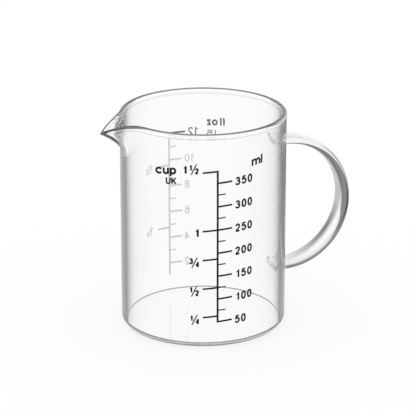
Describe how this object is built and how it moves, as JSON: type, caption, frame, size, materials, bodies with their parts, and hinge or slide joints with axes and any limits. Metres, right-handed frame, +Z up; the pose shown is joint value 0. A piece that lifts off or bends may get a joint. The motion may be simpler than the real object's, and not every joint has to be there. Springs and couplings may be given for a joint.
{
  "type": "measuring jug",
  "caption": "Straight glass measuring jug with a drawn pouring lip, a bowed strap handle and fired black scales on its front and rear.",
  "frame": {"origin": "middle of the base, on the axis of the tumbler", "axes": "+Z up along the tumbler's axis, +X towards the handle, -X towards the pouring lip, -Y towards the front scale"},
  "size_m": [0.1271, 0.0798, 0.106],
  "materials": {
    "clear_glass": "clear, fire-polished",
    "black_enamel": "fired black enamel"
  },
  "bodies": {
    "root": {"glass_body": "clear_glass", "handle": "clear_glass", "millilitre_scale": "black_enamel", "cup_scale": "black_enamel", "fluid_ounce_scale": "black_enamel", "pint_scale": "black_enamel"}
  },
  "joints": []
}
